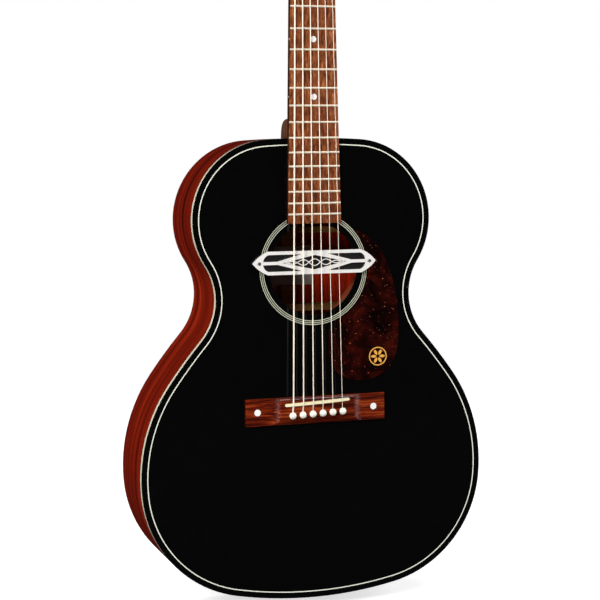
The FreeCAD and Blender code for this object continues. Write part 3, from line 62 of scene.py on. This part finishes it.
# ---------------------------------------------------------------- node helpers
class Material:
    """A node material with a Principled shader and short calls for the nodes used here."""

    def __init__(self, name):
        self.data = bpy.data.materials.new(name)
        self.data.use_nodes = True
        self.tree = self.data.node_tree
        self.shader = self.tree.nodes["Principled BSDF"]
        self.coords = self.tree.nodes.new("ShaderNodeTexCoord").outputs["Object"]

    def node(self, kind, *links, **settings):
        """Make a node; settings set its attributes, links are (input, value or socket) pairs."""
        made = self.tree.nodes.new("ShaderNode" + kind)
        for key, value in settings.items():
            setattr(made, key, value)
        for target, value in links:
            self.link(made.inputs[target], value)
        return made

    def link(self, target, value):
        """Connect a socket, or set a plain value."""
        if isinstance(value, bpy.types.NodeSocket):
            self.tree.links.new(value, target)
        else:
            target.default_value = value

    def set(self, **values):
        """Set or connect the shader's sockets; underscores stand for spaces."""
        for key, value in values.items():
            self.link(self.shader.inputs[key.replace("_", " ")], value)
        return self

    def stretched(self, scale):
        """Object coordinates scaled to cycles per metre."""
        links = (("Vector", self.coords), ("Scale", scale))
        return self.node("Mapping", *links).outputs["Vector"]

    def noise(self, scale, detail=4.0, roughness=0.55, distortion=0.0):
        """A noise pattern, 0 to 1, with its own scale along each axis."""
        links = (("Vector", self.stretched(scale)), ("Scale", 1.0), ("Detail", detail),
                 ("Roughness", roughness), ("Distortion", distortion))
        return self.node("TexNoise", *links).outputs["Fac"]

    def ramp(self, factor, stops):
        """A colour ramp; stops are (place, colour) pairs."""
        made = self.node("ValToRGB", ("Fac", factor))
        elements = made.color_ramp.elements
        while len(elements) < len(stops):
            elements.new(0.5)
        for element, (place, colour) in zip(elements, stops):
            element.position = place
            element.color = (*colour, 1.0)
        return made.outputs["Color"]

    def mix(self, factor, first, second, blend="MIX"):
        """Mix two colours."""
        made = self.node("Mix", data_type="RGBA", blend_type=blend)
        self.link(made.inputs["Factor"], factor)
        for target, value in ((made.inputs[6], first), (made.inputs[7], second)):
            self.link(target, value if isinstance(value, bpy.types.NodeSocket) else (*value, 1.0))
        return made.outputs[2]

    def math(self, operation, first, second=0.0):
        """Arithmetic on two values or sockets."""
        links = ((0, first), (1, second))
        return self.node("Math", *links, operation=operation).outputs[0]

    def spread(self, factor, low, high):
        """Stretch a 0 to 1 factor to a range."""
        links = (("Value", factor), ("To Min", low), ("To Max", high))
        return self.node("MapRange", *links).outputs[0]

    def facing(self, axis):
        """How far the true face normal points along +axis, -1 to 1."""
        normal = self.node("NewGeometry").outputs["True Normal"]
        return self.node("SeparateXYZ", ("Vector", normal)).outputs[axis]

    def recolour(self, factor, colour, blend="MIX"):
        """Mix a colour into the base colour already on the shader."""
        base = self.shader.inputs["Base Color"]
        self.link(base, self.mix(factor, base.links[0].from_socket, colour, blend))

    def bump(self, height, distance, strength=1.0):
        """Raise the surface by a height pattern; distance is the relief in metres."""
        links = (("Height", height), ("Distance", distance), ("Strength", strength))
        self.set(Normal=self.node("Bump", *links).outputs["Normal"])
        return self


def paint(material, *names):
    """Give CAD nodes or new pieces a material."""
    for name in names:
        item = nodes.get(name) or bpy.data.objects[name]
        item.data.materials.clear()
        item.data.materials.append(material.data)


def soften(name, width):
    """Round a CAD node's sharp edges a little."""
    modifier = nodes[name].modifiers.new("soften", "BEVEL")
    modifier.width = width
    modifier.segments = 2
    modifier.limit_method = "ANGLE"
    modifier.angle_limit = math.radians(35)


def thicken(name, amount):
    """Let a CAD node's surface stand out a little along its normals."""
    modifier = nodes[name].modifiers.new("thicken", "DISPLACE")
    modifier.mid_level = 0.0
    modifier.strength = amount


# ---------------------------------------------------------------- wood
# how much the fine streaks, the broad ribbons and the slow patches count in the colour of wood
STREAK_SHARE, RIBBON_SHARE, PATCH_SHARE = 0.42, 0.43, 0.15
# half width of the noise range that the colours are spread over, at contrast 1
NOISE_REACH = 0.17


def wood(name, along, colours, grain=420.0, ribbon=60.0, gloss=0.3, coat=0.0, pores=0.00005, contrast=1.0,
         shine=0.5, long=2.5, ticks=26.0):
    """Wood whose grain runs along one axis: X, Y, Z, or "rim" for sides bent round the outline.

    grain and ribbon count the streaks and ribbons across the wood, long is their rate along it, ticks is
    the rate of the pores along it, gloss is the mean roughness and shine the specular level.
    """
    made = Material(name)
    made.shader.inputs["Specular IOR Level"].default_value = shine
    scales = {"X": (0, 1, 1), "Y": (1, 0, 1), "Z": (1, 1, 0), "rim": (0, 1, 0)}[along]

    def pattern(across, lengthwise):
        return tuple(across if axis else lengthwise for axis in scales)

    streaks = made.noise(pattern(grain, long * 2), detail=6, roughness=0.6)
    ribbons = made.noise(pattern(ribbon, long), detail=3, roughness=0.5, distortion=0.4)
    patches = made.noise(pattern(14.0, 6.0), detail=2)
    blend = made.math("ADD", made.math("MULTIPLY", streaks, STREAK_SHARE),
                      made.math("MULTIPLY", ribbons, RIBBON_SHARE))
    blend = made.math("ADD", blend, made.math("MULTIPLY", patches, PATCH_SHARE))
    low, high = 0.5 - NOISE_REACH / contrast, 0.5 + NOISE_REACH / contrast
    places = [low + (high - low) * index / (len(colours) - 1) for index in range(len(colours))]
    colour = made.ramp(blend, list(zip(places, colours)))
    pore_noise = made.noise(pattern(grain * 3.2, ticks), detail=3, roughness=0.7)
    pore = made.ramp(pore_noise, [(0.36, (0, 0, 0)), (0.46, (1, 1, 1))])
    colour = made.mix(made.spread(pore, 0.55, 0.0), colour, [c * 0.35 for c in colours[0]])
    made.set(Base_Color=colour, Roughness=made.spread(streaks, gloss * 0.75, gloss * 1.3))
    made.shader.inputs["Coat Weight"].default_value = coat
    made.shader.inputs["Coat Roughness"].default_value = 0.05
    return made.bump(pore, pores, 0.6)


SAPELE_COLOURS = [(0.034, 0.0014, 0.0004), (0.115, 0.0052, 0.0013), (0.20, 0.0105, 0.0022),
                  (0.33, 0.026, 0.005)]


def make_woods():
    """Every wooden node: sides and back, neck, blocks, linings, braces, fingerboard and bridge."""
    sides = wood("sapele_sides", "rim", SAPELE_COLOURS, grain=520, ribbon=110, gloss=0.4, contrast=1.3,
                 shine=0.03)
    paint(sides, "side_bass", "side_treble")
    back = wood("sapele_back", "Z", SAPELE_COLOURS, grain=430, ribbon=70, gloss=0.25, coat=0.25, shine=0.2)
    # the bare inner face of the back is paler than the lacquered outer one
    back.recolour(back.math("LESS_THAN", back.facing("Y"), -0.3), (4.2, 4.4, 4.0), "MULTIPLY")
    paint(back, "back")
    mahogany = [(0.055, 0.017, 0.008), (0.13, 0.042, 0.019), (0.21, 0.075, 0.033)]
    paint(wood("neck_mahogany", "Z", mahogany, gloss=0.42, pores=0.00008), "neck")
    raw = [(0.16, 0.075, 0.035), (0.27, 0.13, 0.065), (0.36, 0.19, 0.10)]
    paint(wood("raw_mahogany", "X", raw, gloss=0.7), "neck_block", "tail_block")
    # the X braces take this darker lining wood instead of the pale spruce of the other bars: painted shade on
    # their flanks inside the body
    lining_and_brace_shade = [(0.09, 0.014, 0.004), (0.17, 0.030, 0.009), (0.27, 0.055, 0.018)]
    paint(wood("lining_wood_and_brace_shade", "rim", lining_and_brace_shade, grain=300, ribbon=90, gloss=0.65, shine=0.2), "lining_front",
          "lining_back", "x_brace_bass", "x_brace_treble")
    spruce = [(0.46, 0.17, 0.032), (0.62, 0.27, 0.060), (0.76, 0.40, 0.115)]
    paint(wood("spruce_bars", "X", spruce, grain=300, ribbon=90, gloss=0.65), "back_braces", "upper_brace",
          "finger_braces", "tone_bars", "back_strip", "bridge_plate")
    board_colours = [(0.040, 0.007, 0.0016), (0.14, 0.032, 0.008), (0.28, 0.078, 0.022), (0.58, 0.185, 0.062)]
    board = wood("fingerboard_wood", "Z", board_colours, grain=640, ribbon=360, gloss=0.55, pores=0.0001,
                 contrast=1.2, shine=0.1, long=75.0, ticks=190.0)
    # the two long edges of the fingerboard are stained dark
    edge = board.math("GREATER_THAN", board.math("ABSOLUTE", board.facing("X")), 0.7)
    board.recolour(edge, (0.10, 0.09, 0.08), "MULTIPLY")
    paint(board, "fingerboard")
    bridge = [(0.030, 0.0018, 0.0003), (0.09, 0.006, 0.0008), (0.17, 0.016, 0.002), (0.32, 0.045, 0.008)]
    paint(wood("bridge_wood", "X", bridge, grain=520, ribbon=200, gloss=0.26, coat=0.3, contrast=1.9,
               shine=0.3, long=14.0, ticks=90.0), "bridge")
    soften("bridge", 0.0006)


# ---------------------------------------------------------------- finishes
def make_lacquer():
    """Deep black gloss with faint polishing haze and a little orange peel."""
    black = Material("black_lacquer")
    haze = black.noise((90, 90, 90), detail=5)
    black.set(Base_Color=black.mix(haze, (0.0010, 0.0010, 0.0011), (0.0019, 0.0019, 0.0020)),
              Roughness=black.spread(haze, 0.045, 0.10))
    black.shader.inputs["Specular IOR Level"].default_value = 0.3
    black.bump(black.noise((900, 900, 900), detail=2), 0.000004, 0.5)
    paint(black, "soundboard", "headstock_veneer")


def make_binding():
    """Cream plastic whose front face is under the black lacquer of the top."""
    cream = Material("binding")
    tone = cream.noise((60, 60, 60), detail=4)
    colour = cream.mix(tone, (0.72, 0.68, 0.50), (0.84, 0.80, 0.63))
    normal = cream.node("NewGeometry").outputs["True Normal"]
    facing = cream.node("SeparateXYZ", ("Vector", normal)).outputs["Y"]
    lacquered = cream.math("LESS_THAN", facing, -0.7)
    cream.set(Base_Color=cream.mix(lacquered, colour, (0.0014, 0.0014, 0.0015)),
              Roughness=cream.spread(tone, 0.08, 0.16))
    cream.bump(cream.noise((700, 700, 700), detail=2), 0.000005, 0.4)
    paint(cream, "binding")
    inlay = Material("inlay_plastic")
    grain = inlay.noise((300, 300, 300), detail=4)
    inlay.set(Base_Color=inlay.mix(grain, (0.86, 0.88, 0.70), (0.95, 0.96, 0.84)),
              Roughness=inlay.spread(grain, 0.1, 0.2))
    paint(inlay, "purfling")


def make_rosette():
    """Concentric plies in cream, grey-green and dark lines, with a fine rope pattern between them."""
    low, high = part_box("rosette")
    centre = (low + high) / 2
    outer, inner = (high.x - low.x) / 2, 0.0572
    made = Material("rosette_plies")
    place = made.node("VectorMath", (0, made.coords), (1, tuple(centre)), operation="SUBTRACT").outputs[0]
    parts = made.node("SeparateXYZ", ("Vector", place)).outputs
    radius = made.math("SQRT", made.math("ADD", made.math("POWER", parts["X"], 2.0),
                                         made.math("POWER", parts["Z"], 2.0)))
    share = made.math("DIVIDE", made.math("SUBTRACT", radius, inner), outer - inner)
    cream, dark, green = (0.66, 0.67, 0.52), (0.008, 0.009, 0.007), (0.50, 0.53, 0.38)
    plies = made.ramp(share, [(0.0, cream), (0.13, cream), (0.17, dark), (0.38, dark), (0.42, green),
                              (0.58, green), (0.62, dark), (0.83, dark), (0.87, cream), (1.0, cream)])
    angle = made.math("ARCTAN2", parts["X"], parts["Z"])
    twist = made.math("ADD", made.math("MULTIPLY", angle, 150.0), made.math("MULTIPLY", share, 9.0))
    rope = made.spread(made.math("SINE", twist), 0.0, 0.35)
    middle = made.ramp(share, [(0.38, (0, 0, 0)), (0.42, (1, 1, 1)), (0.58, (1, 1, 1)), (0.62, (0, 0, 0))])
    rope_part = made.math("MULTIPLY", rope, middle)
    made.set(Base_Color=made.mix(rope_part, plies, (0.16, 0.17, 0.11)), Roughness=0.16)
    paint(made, "rosette")


def make_plastics():
    """Ivory plastic, bone, pearl, black plastic and the paper of the label."""
    ivory = Material("ivory_plastic")
    tone = ivory.noise((160, 160, 160), detail=3)
    ivory.set(Base_Color=ivory.mix(tone, (0.93, 0.88, 0.72), (0.98, 0.96, 0.88)),
              Roughness=ivory.spread(tone, 0.12, 0.25))
    ivory.shader.inputs["Subsurface Weight"].default_value = 0.15
    ivory.shader.inputs["Subsurface Radius"].default_value = (0.002, 0.0014, 0.001)
    ivory.bump(ivory.noise((1500, 1500, 1500), detail=2), 0.000006, 0.4)
    paint(ivory, "bridge_pins", *[f"tuner_button_{number}" for number in TUNERS])
    bone = Material("bone")
    fibre = bone.noise((260, 700, 700), detail=5)
    bone.set(Base_Color=bone.mix(fibre, (0.92, 0.78, 0.44), (0.98, 0.92, 0.66)),
             Roughness=bone.spread(fibre, 0.2, 0.35))
    bone.bump(fibre, 0.00001, 0.4)
    paint(bone, "saddle", "nut")
    pearl = Material("pearl")
    flame = pearl.noise((420, 420, 420), detail=3, distortion=2.2)
    nacre = pearl.ramp(flame, [(0.3, (0.84, 0.84, 0.86)), (0.5, (0.97, 0.93, 0.90)),
                               (0.7, (1.0, 0.98, 0.95))])
    pearl.set(Base_Color=nacre, Roughness=pearl.spread(flame, 0.12, 0.3))
    paint(pearl, "bridge_dots", "fret_markers")
    black = Material("black_plastic")
    dust = black.noise((500, 500, 500), detail=5)
    black.set(Base_Color=black.mix(dust, (0.006, 0.006, 0.006), (0.014, 0.013, 0.013)),
              Roughness=black.spread(dust, 0.2, 0.42))
    black.bump(dust, 0.00001, 0.4)
    paint(black, "heel_cap", "truss_rod_cover", "pickup_housing")
    paper = Material("paper")
    fibre = paper.noise((500, 500, 500), detail=6)
    paper.set(Base_Color=paper.mix(fibre, (0.80, 0.68, 0.58), (0.92, 0.82, 0.72)), Roughness=0.9)
    paper.bump(fibre, 0.00004, 0.5)
    paint(paper, "label")


def make_tortoiseshell():
    """Dark red-brown celluloid with cloudy spots and amber flecks under a gloss."""
    shell = Material("tortoiseshell")
    clouds = shell.noise((46, 46, 46), detail=5, roughness=0.62, distortion=0.8)
    colour = shell.ramp(clouds, [(0.36, (0.0022, 0.0005, 0.0004)), (0.50, (0.0105, 0.0012, 0.0008)),
                                 (0.60, (0.027, 0.0024, 0.0012)), (0.72, (0.062, 0.006, 0.002))])
    flecks = shell.noise((380, 380, 380), detail=2, roughness=0.5)
    spots = shell.ramp(flecks, [(0.68, (0, 0, 0)), (0.75, (1, 1, 1))])
    colour = shell.mix(spots, colour, (0.42, 0.095, 0.055))
    shell.set(Base_Color=colour, Roughness=shell.spread(clouds, 0.05, 0.12))
    shell.shader.inputs["Specular IOR Level"].default_value = 0.3
    shell.bump(shell.noise((260, 260, 260), detail=2), 0.00002, 0.3)
    paint(shell, "pickguard")


def metal(name, colour, rough, *targets, streak=(900, 60, 60), relief=0.000004):
    """Polished or brushed metal with fine directional scratches."""
    made = Material(name)
    scratch = made.noise(streak, detail=5, roughness=0.7)
    dull = tuple(c * 0.86 for c in colour)
    made.set(Base_Color=made.mix(scratch, dull, colour), Metallic=1.0,
             Roughness=made.spread(scratch, rough * 0.7, rough * 1.4))
    made.bump(scratch, relief, 0.5)
    paint(made, *targets)
    return made


ORNAMENT_HALF_LENGTH = 0.0335
ORNAMENT_SWING = 0.0036
ORNAMENT_WEAVE = 0.0004
ORNAMENT_DEPTH = 0.0007
ORNAMENT_WIRE_RADIUS = 0.00055
ORNAMENT_HALF_WAVES = 2.5
ORNAMENT_STEPS = 96


def make_ornament():
    """A braid of two crossing wires across the diamond of the pickup cover."""
    low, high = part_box("pickup_cover")
    centre = (low + high) / 2
    curve = bpy.data.curves.new("ornament_path", "CURVE")
    curve.dimensions = "3D"
    curve.bevel_depth = ORNAMENT_WIRE_RADIUS
    curve.bevel_resolution = 2
    curve.use_fill_caps = True
    for sign in (-1, 1):
        strand = curve.splines.new("POLY")
        strand.points.add(ORNAMENT_STEPS)
        for step, point in enumerate(strand.points):
            along = 2 * step / ORNAMENT_STEPS - 1
            phase = ORNAMENT_HALF_WAVES * math.pi * (along + 1)
            swing = sign * ORNAMENT_SWING * (1 - along * along) * math.sin(phase)
            over = sign * ORNAMENT_WEAVE * math.cos(phase)
            point.co = (centre.x + ORNAMENT_HALF_LENGTH * along, low.y + ORNAMENT_DEPTH + over,
                        centre.z + swing, 1)
    path = bpy.data.objects.new("ornament_path", curve)
    ornament = bpy.data.objects.new("pickup_ornament", bpy.data.meshes.new_from_object(path))
    bpy.data.objects.remove(path)
    bpy.context.collection.objects.link(ornament)
    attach(ornament, "root")
    return "pickup_ornament"


def make_metals():
    """Chrome, nickel, steel, fret and string wire, brass and gold print."""
    chrome = metal("chrome", (1.0, 0.965, 0.93), 0.34, "pickup_cover", make_ornament())
    chrome.set(Metallic=0.12)
    soften("pickup_cover", 0.0005)
    metal("nickel", (0.72, 0.69, 0.63), 0.14, "tuner_plates", "tuner_bushings", "headstock_screws",
          "endpin_jack", "endpin_nut", *[f"tuner_post_{number}" for number in TUNERS])
    metal("steel", (0.50, 0.50, 0.50), 0.32, "truss_rod", "bridge_bolts", "pickup_clamps", "pickup_screws")
    fret_wire = metal("fret_wire", (1.0, 0.88, 0.70), 0.4, "frets", streak=(40, 900, 900), relief=0.000002)
    fret_wire.set(Metallic=0.3)
    wires = metal("string_wire", (1.0, 0.89, 0.73), 0.42, "strings", streak=(300, 300, 5000), relief=0.00002)
    wires.set(Metallic=0.3)
    thicken("strings", 0.00016)
    metal("brass", (0.80, 0.56, 0.24), 0.3, "truss_rod_nut")
    gold = metal("gold_print", (1.0, 0.50, 0.09), 0.4, "pickguard_emblem")
    gold.set(Metallic=0.15)


# ---------------------------------------------------------------- stage
FLOOR_RADIUS = 1.6


def area_light(name, place, target, width, height, power):
    """A rectangular soft box at place, aimed at target."""
    data = bpy.data.lights.new(name, "AREA")
    data.shape = "RECTANGLE"
    data.size, data.size_y = width, height
    data.energy = power
    lamp = bpy.data.objects.new(name, data)
    lamp.location = place
    lamp.rotation_euler = (Vector(target) - Vector(place)).to_track_quat("-Z", "Y").to_euler()
    bpy.context.collection.objects.link(lamp)
    return lamp


def camera_only(tree, seen, unseen):
    """A shader that the camera sees directly, and another that gloss and bounced light meet."""
    path = tree.nodes.new("ShaderNodeLightPath")
    either = tree.nodes.new("ShaderNodeMixShader")
    tree.links.new(path.outputs["Is Camera Ray"], either.inputs["Fac"])
    tree.links.new(unseen, either.inputs[1])
    tree.links.new(seen, either.inputs[2])
    return either.outputs["Shader"]


def make_floor():
    """A round pale floor under the guitar that fades into the background."""
    mesh = bpy.data.meshes.new("floor")
    work = bmesh.new()
    bmesh.ops.create_circle(work, cap_ends=True, segments=96, radius=FLOOR_RADIUS)
    work.to_mesh(mesh)
    work.free()
    floor = bpy.data.objects.new("floor", mesh)
    floor.location = (0, 0, FLOOR)
    bpy.context.collection.objects.link(floor)
    pale = Material("floor")
    grain = pale.noise((30, 30, 30), detail=3)
    pale.set(Base_Color=pale.mix(grain, (0.80, 0.80, 0.80), (0.84, 0.84, 0.84)), Roughness=0.9)
    pale.shader.inputs["Specular IOR Level"].default_value = 0.0
    pale.set(Emission_Color=(1, 1, 1, 1), Emission_Strength=0.62)
    dark = pale.node("BsdfDiffuse", ("Color", (0.03, 0.03, 0.03, 1))).outputs["BSDF"]
    surface = camera_only(pale.tree, pale.shader.outputs["BSDF"], dark)
    pale.tree.links.new(surface, pale.tree.nodes["Material Output"].inputs["Surface"])
    floor.data.materials.append(pale.data)


def make_world():
    """A white background; what the gloss reflects is much dimmer, as in a studio with black flags."""
    world = bpy.data.worlds.new("studio")
    bpy.context.scene.world = world
    world.use_nodes = True
    tree = world.node_tree
    background = tree.nodes["Background"]
    path = tree.nodes.new("ShaderNodeLightPath")
    brightness = tree.nodes.new("ShaderNodeMapRange")
    brightness.inputs["To Min"].default_value = 0.02
    brightness.inputs["To Max"].default_value = 1.0
    tree.links.new(path.outputs["Is Camera Ray"], brightness.inputs["Value"])
    tree.links.new(brightness.outputs[0], background.inputs["Strength"])
    background.inputs["Color"].default_value = (1, 1, 1, 1)


def make_lights():
    """Soft boxes placed so that the black top and the sides mirror none of them at the camera's angle."""
    area_light("key", (-1.9, -2.4, 1.95), (0, 0, 0.35), 1.2, 1.1, 88)
    area_light("low_left", (-1.9, -2.1, 0.2), (0, 0, 0.2), 0.5, 0.6, 10)
    area_light("fill", (2.3, -1.15, 0.5), (0, 0, 0.2), 0.8, 0.9, 34)
    area_light("front_top", (0.95, -1.4, 2.5), (0, 0, 0.5), 0.8, 0.8, 22)
    area_light("side", (-2.3, -0.45, 0.3), (0, 0, 0.08), 0.8, 0.5, 24)
    area_light("back_left", (-2.3, 1.0, 1.3), (0, 0, 0.4), 0.8, 1.2, 10)
    area_light("back_right", (2.2, 1.5, 1.6), (0, 0, 0.5), 1.0, 1.2, 40)


CAMERA_AZIMUTH = math.radians(-17.80)
CAMERA_ELEVATION = math.radians(5.20)
CAMERA_ROLL = math.radians(-0.58)
CAMERA_DISTANCE = 1.8254
CAMERA_LENS = 100.0
CAMERA_AIM = Vector((-0.01613, FRONT, 0.3332))


def make_camera():
    """A long lens that looks from the bass side and a little above, with a slight roll."""
    data = bpy.data.cameras.new("camera")
    data.sensor_width = 36
    data.lens = CAMERA_LENS
    camera = bpy.data.objects.new("camera", data)
    bpy.context.collection.objects.link(camera)
    out = Vector((math.sin(CAMERA_AZIMUTH) * math.cos(CAMERA_ELEVATION),
                  -math.cos(CAMERA_AZIMUTH) * math.cos(CAMERA_ELEVATION), math.sin(CAMERA_ELEVATION)))
    camera.location = CAMERA_AIM + out * CAMERA_DISTANCE
    turn = (-out).to_track_quat("-Z", "Y").to_matrix() @ Matrix.Rotation(CAMERA_ROLL, 3, "Z")
    camera.rotation_euler = turn.to_euler()
    bpy.context.scene.camera = camera


make_woods()
make_lacquer()
make_binding()
make_rosette()
make_plastics()
make_tortoiseshell()
make_metals()
make_floor()
make_world()
make_lights()
make_camera()
bpy.context.scene.view_settings.view_transform = "Standard"
